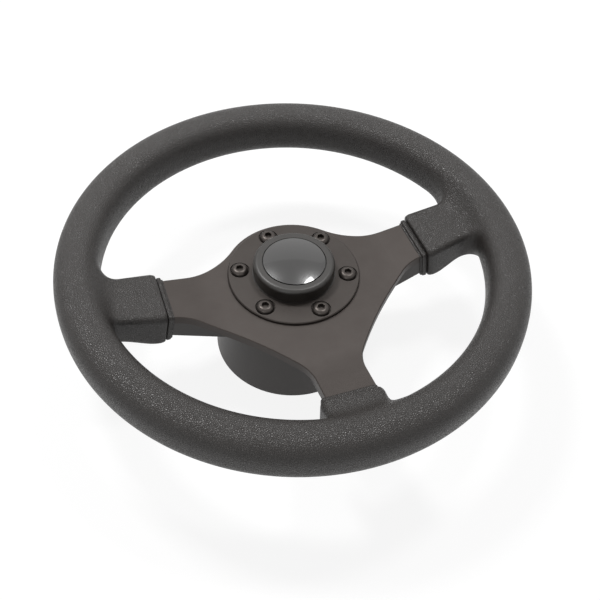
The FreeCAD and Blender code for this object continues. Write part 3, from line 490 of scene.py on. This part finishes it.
print("rim faces:", len(rim_faces()))


# %% Put the grip together
def grip_mesh():
    """One closed mesh of the rim and its three sleeves, in metres."""
    points = [rim_grid.reshape(-1, 3)]
    count = len(points[0])
    faces = rim_faces()
    for name in SLEEVES:
        edge, rings = sleeve_rings(name)
        before = [step * SECTION_POINTS + point for step, point in edge]
        faces += sewn_faces(before, rings, count)
        points += rings
        count += sum(len(ring) for ring in rings)
    return np.vstack(points) * MM, faces


grip_points, grip_faces = grip_mesh()
used = np.unique(np.concatenate([np.array(face) for face in grip_faces]))
renumber = {int(old): new for new, old in enumerate(used)}
grip_faces = [[renumber[int(corner)] for corner in face] for face in grip_faces]
grip_points = grip_points[used]
print("grip points:", len(grip_points), "after those inside the windows were dropped")

# %% [markdown]
# The points become an object. Blender shades a face by the side it faces, so all the faces are
# turned outward first: one that is flipped leaves a dark crease. The new skin then takes the
# place of the solid grip and sleeves, and moves with the wheel.


# %% The grip as an object
def new_piece(name, points, faces):
    """A smooth mesh object with outward faces."""
    mesh = bpy.data.meshes.new(name)
    mesh.from_pydata([tuple(p) for p in points], [], faces)
    mesh.validate()
    work = bmesh.new()
    work.from_mesh(mesh)
    bmesh.ops.recalc_face_normals(work, faces=work.faces)
    work.to_mesh(mesh)
    work.free()
    piece = bpy.data.objects.new(name, mesh)
    bpy.context.scene.collection.objects.link(piece)
    mesh.polygons.foreach_set("use_smooth", [True] * len(mesh.polygons))
    mesh.update()
    return piece


soft_grip = new_piece("soft_grip", grip_points, grip_faces)
print("grip:", len(soft_grip.data.vertices), "points,", len(soft_grip.data.polygons), "faces")
grip_solids = [name for name in nodes if name == "rim_grip" or name.startswith("sleeve_")]
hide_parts(*grip_solids)
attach(soft_grip, "wheel")

# %% [markdown]
# ## Finishes
#
# Several finishes share an effect, such as a moulded grain. Each effect is a node group that is
# built once and gives a height, a mask or a colour. The shader itself stays in each material.
# Three helpers keep the cells that follow short: one starts a group, one makes a node with its
# settings, and one does sums.


# %% Helpers for node groups
def effect(name, inputs, outputs):
    """A new shader node group with named number sockets, and its two end nodes."""
    group = bpy.data.node_groups.new(name, "ShaderNodeTree")
    for label, value in inputs:
        socket = group.interface.new_socket(label, in_out="INPUT", socket_type="NodeSocketFloat")
        socket.default_value = value
    for label in outputs:
        group.interface.new_socket(label, in_out="OUTPUT", socket_type="NodeSocketFloat")
    return group, group.nodes.new("NodeGroupInput"), group.nodes.new("NodeGroupOutput")


def node(tree, kind, **settings):
    """A node with its settings and unlinked inputs given by name."""
    made = tree.nodes.new(kind)
    for label, value in settings.items():
        if hasattr(made, label):
            setattr(made, label, value)
        else:
            made.inputs[label.replace("_", " ")].default_value = value
    return made


def maths(tree, operation, first, second=None, third=None, clamp=False):
    """A math node, with numbers or sockets for its inputs."""
    made = tree.nodes.new("ShaderNodeMath")
    made.operation = operation
    made.use_clamp = clamp
    for index, value in enumerate((first, second, third)):
        if value is None:
            continue
        if isinstance(value, (int, float)):
            made.inputs[index].default_value = value
        else:
            tree.links.new(value, made.inputs[index])
    return made.outputs[0]


print("node helpers ready; groups so far:", len(bpy.data.node_groups))

# %% [markdown]
# ### Leather grain
#
# The mould's wall is etched with a leather pattern, and the foam's skin takes it on. Such a grain
# is a field of small cushions with fine creases between them. Voronoi's distance to the nearest
# edge gives the creases, a noise bends them, and a finer noise adds pores on the cushions.

# %% The grain group
CREASE_SHARPNESS = 3.2
CUSHION_SWELL = 0.6
PORE_SHARE = 0.35
grain, grain_in, grain_out = effect(
    "leather_grain", [("Cells per metre", 800.0), ("Wander", 0.0006)], ["Height", "Crease"]
)
place = node(grain, "ShaderNodeTexCoord")
wander = node(grain, "ShaderNodeTexNoise", Scale=350.0, Detail=2.0)
grain.links.new(place.outputs["Object"], wander.inputs["Vector"])
shift = node(grain, "ShaderNodeVectorMath", operation="SUBTRACT")
shift.inputs[1].default_value = (0.5, 0.5, 0.5)
grain.links.new(wander.outputs["Color"], shift.inputs[0])
scaled = node(grain, "ShaderNodeVectorMath", operation="SCALE")
grain.links.new(shift.outputs[0], scaled.inputs[0])
grain.links.new(grain_in.outputs["Wander"], scaled.inputs["Scale"])
moved = node(grain, "ShaderNodeVectorMath", operation="ADD")
grain.links.new(place.outputs["Object"], moved.inputs[0])
grain.links.new(scaled.outputs[0], moved.inputs[1])
cells = node(grain, "ShaderNodeTexVoronoi", feature="DISTANCE_TO_EDGE")
grain.links.new(moved.outputs[0], cells.inputs["Vector"])
grain.links.new(grain_in.outputs["Cells per metre"], cells.inputs["Scale"])
cushion = maths(grain, "MULTIPLY", cells.outputs["Distance"], CREASE_SHARPNESS, clamp=True)
cushion = maths(grain, "POWER", cushion, CUSHION_SWELL)
pores = node(grain, "ShaderNodeTexNoise", Scale=3200.0, Detail=3.0, Roughness=0.6)
grain.links.new(place.outputs["Object"], pores.inputs["Vector"])
height = maths(grain, "MULTIPLY_ADD", pores.outputs["Fac"], PORE_SHARE, cushion)
grain.links.new(height, grain_out.inputs["Height"])
grain.links.new(maths(grain, "SUBTRACT", 1.0, cushion), grain_out.inputs["Crease"])
print("leather grain group:", len(grain.nodes), "nodes")

# %% [markdown]
# ### Fine moulded or blasted texture
#
# A spark-eroded mould gives hard plastic a fine even roughness, and bead blasting does much the
# same to metal before it is anodised. Both are a small-scale noise, with different values. A
# second, much larger noise gives the slight cloudiness that no real surface is without.

# %% The fine texture group
fine, fine_in, fine_out = effect(
    "fine_texture", [("Grains per metre", 2500.0)], ["Height", "Cloud"]
)
place = node(fine, "ShaderNodeTexCoord")
specks = node(fine, "ShaderNodeTexNoise", Detail=2.0, Roughness=0.7)
fine.links.new(place.outputs["Object"], specks.inputs["Vector"])
fine.links.new(fine_in.outputs["Grains per metre"], specks.inputs["Scale"])
cloud = node(fine, "ShaderNodeTexNoise", Scale=38.0, Detail=4.0, Roughness=0.55)
fine.links.new(place.outputs["Object"], cloud.inputs["Vector"])
fine.links.new(specks.outputs["Fac"], fine_out.inputs["Height"])
fine.links.new(cloud.outputs["Fac"], fine_out.inputs["Cloud"])
print("fine texture group:", len(fine.nodes), "nodes")

# %% [markdown]
# ### Dust
#
# Handled things collect a trace of dust on what faces up. The mask is the upward part of the
# surface's normal, broken up by a soft noise.

# %% The dust group
dust, dust_in, dust_out = effect("light_dust", [("Amount", 0.5)], ["Mask"])
facing = node(dust, "ShaderNodeNewGeometry")
split = node(dust, "ShaderNodeSeparateXYZ")
dust.links.new(facing.outputs["Normal"], split.inputs[0])
place = node(dust, "ShaderNodeTexCoord")
patches = node(dust, "ShaderNodeTexNoise", Scale=60.0, Detail=6.0, Roughness=0.65)
dust.links.new(place.outputs["Object"], patches.inputs["Vector"])
upward = maths(dust, "MAXIMUM", split.outputs["Z"], 0.0)
broken = maths(dust, "MULTIPLY", upward, patches.outputs["Fac"])
mask = maths(dust, "MULTIPLY", broken, dust_in.outputs["Amount"], clamp=True)
dust.links.new(mask, dust_out.inputs["Mask"])
print("dust group:", len(dust.nodes), "nodes")

# %% [markdown]
# ### Helpers for materials
#
# Every finish here is built the same way: start from the shader, place the groups, blend two
# colours by a mask, map a mask onto a range of roughness, and turn a height into a bump.


# %% Start a material and place a group in it
def finish(name):
    """A new node material and its Principled shader."""
    material = bpy.data.materials.new(name)
    material.use_nodes = True
    return material, material.node_tree, material.node_tree.nodes["Principled BSDF"]


def place_group(tree, group, **values):
    """Puts a group in a material with its own values."""
    made = tree.nodes.new("ShaderNodeGroup")
    made.node_tree = group
    for label, value in values.items():
        made.inputs[label.replace("_", " ")].default_value = value
    return made


print("effects to place:", [group.name for group in (grain, fine, dust)])


# %% Blend, spread and bump
def blend_colours(tree, mask, low, high):
    """Mixes two colours by a mask, and gives the colour's socket."""
    mix = tree.nodes.new("ShaderNodeMix")
    mix.data_type = "RGBA"
    tree.links.new(mask, mix.inputs["Factor"])
    for socket, colour in ((mix.inputs[6], low), (mix.inputs[7], high)):
        if isinstance(colour, tuple):
            socket.default_value = (*colour, 1.0)
        else:
            tree.links.new(colour, socket)
    return mix.outputs[2]


def dusted(tree, colour, amount, dust_colour):
    """A colour with a trace of dust on what faces up."""
    haze = place_group(tree, dust, Amount=amount)
    return blend_colours(tree, haze.outputs["Mask"], colour, dust_colour)


def spread(tree, value, low, high):
    """Maps 0 to 1 onto low to high."""
    made = tree.nodes.new("ShaderNodeMapRange")
    made.inputs["To Min"].default_value = low
    made.inputs["To Max"].default_value = high
    tree.links.new(value, made.inputs["Value"])
    return made.outputs["Result"]


def bump(tree, height, depth, shader):
    """Feeds a height to the shader's normal, with the bump's depth in metres."""
    made = tree.nodes.new("ShaderNodeBump")
    made.inputs["Distance"].default_value = depth
    tree.links.new(height, made.inputs["Height"])
    tree.links.new(made.outputs["Normal"], shader.inputs["Normal"])


DUST_ON_FOAM = (0.30, 0.29, 0.28)
DUST_ON_METAL = (0.32, 0.30, 0.28)
DUST_ON_PLASTIC = (0.28, 0.27, 0.26)
print("dust colours:", DUST_ON_FOAM, DUST_ON_METAL, DUST_ON_PLASTIC)

# %% [markdown]
# ### The grip's foam skin
#
# Self-skinning foam is nearly black-brown all through, with a dull surface that catches small
# glints on its cushions. The creases are duller than the cushions, and painted darker as shade.

# %% Foam skin
CUSHION_COLOUR = (0.026, 0.021, 0.018)
CREASE_SHADE_COLOUR = (0.004, 0.003, 0.0026)
foam, tree, shader = finish("grip_foam_skin")
skin = place_group(tree, grain, Cells_per_metre=900.0, Wander=0.0007)
# The creases get a much darker colour: painted shade for the shadow that falls into them.
colour = blend_colours(tree, skin.outputs["Crease"], CUSHION_COLOUR, CREASE_SHADE_COLOUR)
colour = dusted(tree, colour, 0.07, DUST_ON_FOAM)
tree.links.new(colour, shader.inputs["Base Color"])
roughness = spread(tree, skin.outputs["Crease"], 0.25, 0.62)
tree.links.new(roughness, shader.inputs["Roughness"])
shader.inputs["Specular IOR Level"].default_value = 0.45
bump(tree, skin.outputs["Height"], 0.00018, shader)
soft_grip.data.materials.append(foam)
print("foam skin:", len(tree.nodes), "nodes")

# %% [markdown]
# ### Anodised metal
#
# The plate and the ring are aluminium, bead blasted and then anodised a warm dark grey. The dye
# layer is thin, so the metal's soft sheen still comes through. A low Metallic value gives that
# sheen and keeps the dye's colour.


# %% Anodised finish
def anodised(name, dark, light, metal, rough):
    """A blasted and dyed aluminium finish."""
    material, tree, shader = finish(name)
    blasted = place_group(tree, fine, Grains_per_metre=3500.0)
    colour = blend_colours(tree, spread(tree, blasted.outputs["Cloud"], 0.2, 0.8), dark, light)
    colour = dusted(tree, colour, 0.10, DUST_ON_METAL)
    tree.links.new(colour, shader.inputs["Base Color"])
    roughness = spread(tree, blasted.outputs["Height"], rough - 0.05, rough + 0.07)
    tree.links.new(roughness, shader.inputs["Roughness"])
    shader.inputs["Metallic"].default_value = metal
    shader.inputs["Specular IOR Level"].default_value = 0.3
    bump(tree, blasted.outputs["Height"], 0.00002, shader)
    return material


plate_finish = anodised(
    "plate_anodised_finish", (0.043, 0.034, 0.030), (0.053, 0.043, 0.038), metal=0.3, rough=0.42
)
ring_finish = anodised(
    "ring_anodised_finish", (0.034, 0.027, 0.023), (0.043, 0.035, 0.031), metal=0.3, rough=0.44
)
print("anodised:", plate_finish.name, ring_finish.name)

# %% [markdown]
# ### Moulded plastics
#
# The hub is glass-filled nylon from a spark-eroded mould: dull and slightly mottled. The cap is a
# smoother moulding of the same kind. The thin pad under the dome is foam, and duller than both.


# %% Moulded finish
def moulded(name, dark, light, rough, depth, grains):
    """A plastic from a textured mould."""
    material, tree, shader = finish(name)
    spark = place_group(tree, fine, Grains_per_metre=grains)
    colour = blend_colours(tree, spark.outputs["Cloud"], dark, light)
    colour = dusted(tree, colour, 0.10, DUST_ON_PLASTIC)
    tree.links.new(colour, shader.inputs["Base Color"])
    roughness = spread(tree, spark.outputs["Height"], rough - 0.06, rough + 0.08)
    tree.links.new(roughness, shader.inputs["Roughness"])
    bump(tree, spark.outputs["Height"], depth, shader)
    return material


hub_finish = moulded(
    "hub_nylon", (0.030, 0.026, 0.024), (0.043, 0.037, 0.034), 0.48, depth=0.00006, grains=1600.0
)
cap_finish = moulded(
    "cap_nylon", (0.014, 0.012, 0.010), (0.022, 0.019, 0.016), 0.38, depth=0.00002, grains=3000.0
)
pad_finish = moulded(
    "pad_foam_finish", (0.03, 0.03, 0.03), (0.05, 0.05, 0.05), 0.9, depth=0.0001, grains=1500.0
)
print("moulded:", hub_finish.name, cap_finish.name, pad_finish.name)

# %% [markdown]
# ### The glossy dome
#
# The dome in the cap's middle is a drop of clear resin over a dark ground, nearly as glossy as
# glass. It could be made of real glass over a disc, but a coat over a dark base looks much the
# same from outside and is simpler, so the coat is the gloss and the base is the ground.

# %% Glossy dome
dome_finish, tree, shader = finish("dome_resin")
ground = place_group(tree, fine, Grains_per_metre=900.0)
colour = blend_colours(tree, ground.outputs["Cloud"], (0.006, 0.005, 0.004), (0.010, 0.008, 0.007))
tree.links.new(colour, shader.inputs["Base Color"])
roughness = spread(tree, ground.outputs["Cloud"], 0.20, 0.28)
tree.links.new(roughness, shader.inputs["Roughness"])
shader.inputs["Coat Weight"].default_value = 1.0
shader.inputs["Coat Roughness"].default_value = 0.04
print("dome finish:", dome_finish.name)

# %% [markdown]
# ### Screws, inserts and the ring inside
#
# The screws are black passivated steel: dark, a little glossy and faintly mottled. The brass
# inserts, the taper insert and the ring inside the grip can't be seen in the photograph, but each
# still gets the metal that such a piece is made of, for when it is looked at by itself.


# %% Metal finish
def turned_metal(name, dark, light, rough, metal=1.0):
    """A turned or drawn metal."""
    material, tree, shader = finish(name)
    marks = place_group(tree, fine, Grains_per_metre=1800.0)
    colour = blend_colours(tree, marks.outputs["Height"], dark, light)
    tree.links.new(colour, shader.inputs["Base Color"])
    roughness = spread(tree, marks.outputs["Cloud"], rough - 0.05, rough + 0.08)
    tree.links.new(roughness, shader.inputs["Roughness"])
    shader.inputs["Metallic"].default_value = metal
    bump(tree, marks.outputs["Height"], 0.00001, shader)
    return material


screw_finish = turned_metal(
    "screw_black", (0.048, 0.041, 0.037), (0.075, 0.065, 0.059), 0.34, metal=0.7
)
brass_finish = turned_metal("insert_brass", (0.55, 0.40, 0.16), (0.66, 0.50, 0.22), 0.35)
insert_finish = turned_metal("insert_cast", (0.42, 0.41, 0.40), (0.52, 0.51, 0.50), 0.4)
core_finish = turned_metal("core_rod_finish", (0.5, 0.5, 0.5), (0.6, 0.6, 0.6), 0.4)
print("metals:", screw_finish.name, brass_finish.name, insert_finish.name, core_finish.name)

# %% [markdown]
# ### Which solid gets which finish
#
# The other solids keep their own meshes, which already have the right shape. Each only needs its
# finish in place of the plain colour that it came with. The grip and the sleeves aren't listed,
# because the soft grip made above stands in for them.

# %% Give each solid its finish
finishes = {
    "hub": hub_finish,
    "hub_bell": hub_finish,
    "spoke_plate": plate_finish,
    "trim_ring": ring_finish,
    "taper_insert": insert_finish,
    "cap_body": cap_finish,
    "cap_pad": pad_finish,
    "cap_dome": dome_finish,
    "rim_core": core_finish,
}
for number in range(1, 7):
    finishes["screw_%d" % number] = screw_finish
    finishes["threaded_insert_%d" % number] = brass_finish
for name, material in finishes.items():
    mesh = nodes[name].data
    mesh.materials.clear()
    mesh.materials.append(material)
print("finishes given to", len(finishes), "solids")

# %% [markdown]
# ## The studio
#
# The wheel lies on its hub on a plain pale floor, and everything round it is white, as in a
# catalogue's photograph. More light would make the floor white too, but it would also wash out
# the wheel. So the white is a colour that only direct rays see: those from the camera, and those
# that reach the floor or the room by way of a reflection or through glass. Light Path tells these
# from the rays that carry light onto the wheel.


# %% Tell direct rays from the others
def seen_directly(tree):
    """1 for rays from the camera or by way of a reflection or glass, 0 for all others."""
    path = tree.nodes.new("ShaderNodeLightPath")
    mirrored = maths(tree, "MAXIMUM", path.outputs["Is Camera Ray"], path.outputs["Is Glossy Ray"])
    return maths(tree, "MAXIMUM", mirrored, path.outputs["Is Transmission Ray"])


FLOOR_GREY = (0.5, 0.5, 0.5)
FLOOR_SHADED = (0.20, 0.20, 0.20)
FLOOR_GLOW = (0.87, 0.87, 0.87)
ROOM_LEVEL = 0.20
WHITE_LEVEL = 1.0
print("floor glow %.2f, room %.2f for other rays" % (FLOOR_GLOW[0], ROOM_LEVEL))

# %% [markdown]
# For light that bounces up onto the wheel the floor is a plain mid grey. For direct rays most of
# its colour is a glow, which no lamp changes, and the rest is a dark grey that the lamps light,
# so that the wheel's shadow still shows as a faint tone.

# %% Floor
HALF_FLOOR = 6.0
corners = [(x * HALF_FLOOR, y * HALF_FLOOR, 0) for x, y in ((-1, -1), (1, -1), (1, 1), (-1, 1))]
floor_mesh = bpy.data.meshes.new("studio_floor")
floor_mesh.from_pydata(corners, [], [(0, 1, 2, 3)])
floor = bpy.data.objects.new("studio_floor", floor_mesh)
bpy.context.scene.collection.objects.link(floor)

floor_finish, tree, shader = finish("studio_floor_finish")
direct = seen_directly(tree)
colour = blend_colours(tree, direct, FLOOR_GREY, FLOOR_SHADED)
tree.links.new(colour, shader.inputs["Base Color"])
glow = blend_colours(tree, direct, (0, 0, 0), FLOOR_GLOW)
tree.links.new(glow, shader.inputs["Emission Color"])
shader.inputs["Emission Strength"].default_value = 1.0
shader.inputs["Roughness"].default_value = 0.9
shader.inputs["Specular IOR Level"].default_value = 0.0
floor_mesh.materials.append(floor_finish)
print("floor:", 2 * HALF_FLOOR, "m wide")

# %% [markdown]
# The room gives a low even light from all round, so that what faces away from the lamps isn't
# black. Direct rays see it white, as they do the floor.

# %% The room
world = bpy.data.worlds.new("studio_room")
bpy.context.scene.world = world
world.use_nodes = True
tree = world.node_tree
tree.nodes.clear()
room = node(tree, "ShaderNodeBackground", Strength=ROOM_LEVEL)
room.inputs["Color"].default_value = (1, 1, 1, 1)
white = node(tree, "ShaderNodeBackground", Strength=WHITE_LEVEL)
white.inputs["Color"].default_value = (1, 1, 1, 1)
mix = tree.nodes.new("ShaderNodeMixShader")
end = tree.nodes.new("ShaderNodeOutputWorld")
tree.links.new(seen_directly(tree), mix.inputs[0])
tree.links.new(room.outputs[0], mix.inputs[1])
tree.links.new(white.outputs[0], mix.inputs[2])
tree.links.new(mix.outputs[0], end.inputs[0])
print("room:", world.name, "with", len(tree.nodes), "nodes")

# %% [markdown]
# The highlights on the rim and the dome tell where the lamps stood: two small soft ones behind
# the wheel and well above it, one to the left and one to the right. A large dim lamp low behind
# lights the far side, and a weak one at the front left keeps the near side from going dark.
# Azimuth is counted from the front towards the right, in degrees, and sizes are in metres.

# %% Lights
LAMP_AIM = Vector((0, 0, 0.06))


def soft_light(name, azimuth, elevation, distance, size, level):
    """A square lamp that aims at the wheel. At level 1 a white surface facing it renders white."""
    data = bpy.data.lights.new(name, "AREA")
    data.shape = "SQUARE"
    data.size = size
    data.energy = level * math.pi**2 * distance**2
    lamp = bpy.data.objects.new(name, data)
    a, e = math.radians(azimuth), math.radians(elevation)
    way = Vector((math.sin(a) * math.cos(e), -math.cos(a) * math.cos(e), math.sin(e)))
    lamp.location = LAMP_AIM + way * distance
    lamp.rotation_euler = way.to_track_quat("Z", "Y").to_euler()
    bpy.context.scene.collection.objects.link(lamp)
    return lamp


lamps = [
    soft_light("left_light", azimuth=210, elevation=61, distance=1.2, size=0.24, level=0.50),
    soft_light("right_light", azimuth=121, elevation=67, distance=1.2, size=0.20, level=0.27),
    soft_light("back_light", azimuth=165, elevation=24, distance=1.4, size=1.3, level=0.08),
    soft_light("fill_light", azimuth=318, elevation=24, distance=1.3, size=0.6, level=0.10),
]
print("lamps, in watts:", {lamp.name: round(lamp.data.energy, 2) for lamp in lamps})

# %% [markdown]
# ## The camera
#
# The camera stands where it stood for the photograph: in front of the wheel and to its left,
# looking down at about 48 degrees, with a moderately long lens. Its place, turn and lens were
# found by matching the outlines of the rim, the sleeves, the screws and the hub to the photograph.

# %% Camera
CAMERA_PLACE = (-138.05, -345.88, 476.85)
CAMERA_TURN = (40.116, -2.228, -19.847)
CAMERA_LENS = 55.615
SENSOR_WIDTH = 36.0
camera_data = bpy.data.cameras.new("camera")
camera_data.sensor_width = SENSOR_WIDTH
camera_data.lens = CAMERA_LENS
camera = bpy.data.objects.new("camera", camera_data)
camera.location = Vector(CAMERA_PLACE) * MM
camera.rotation_euler = Euler([math.radians(v) for v in CAMERA_TURN], "XYZ")
bpy.context.scene.collection.objects.link(camera)
bpy.context.scene.camera = camera
bpy.context.scene.view_settings.view_transform = "Standard"
print("camera %.3f m from the wheel's middle" % camera.location.length)

# %% [markdown]
# ## The end
#
# The dressed wheel should fill the same box as the solid one, because the skin only takes the
# solid grip's place.

# %% The end
bpy.context.view_layer.update()
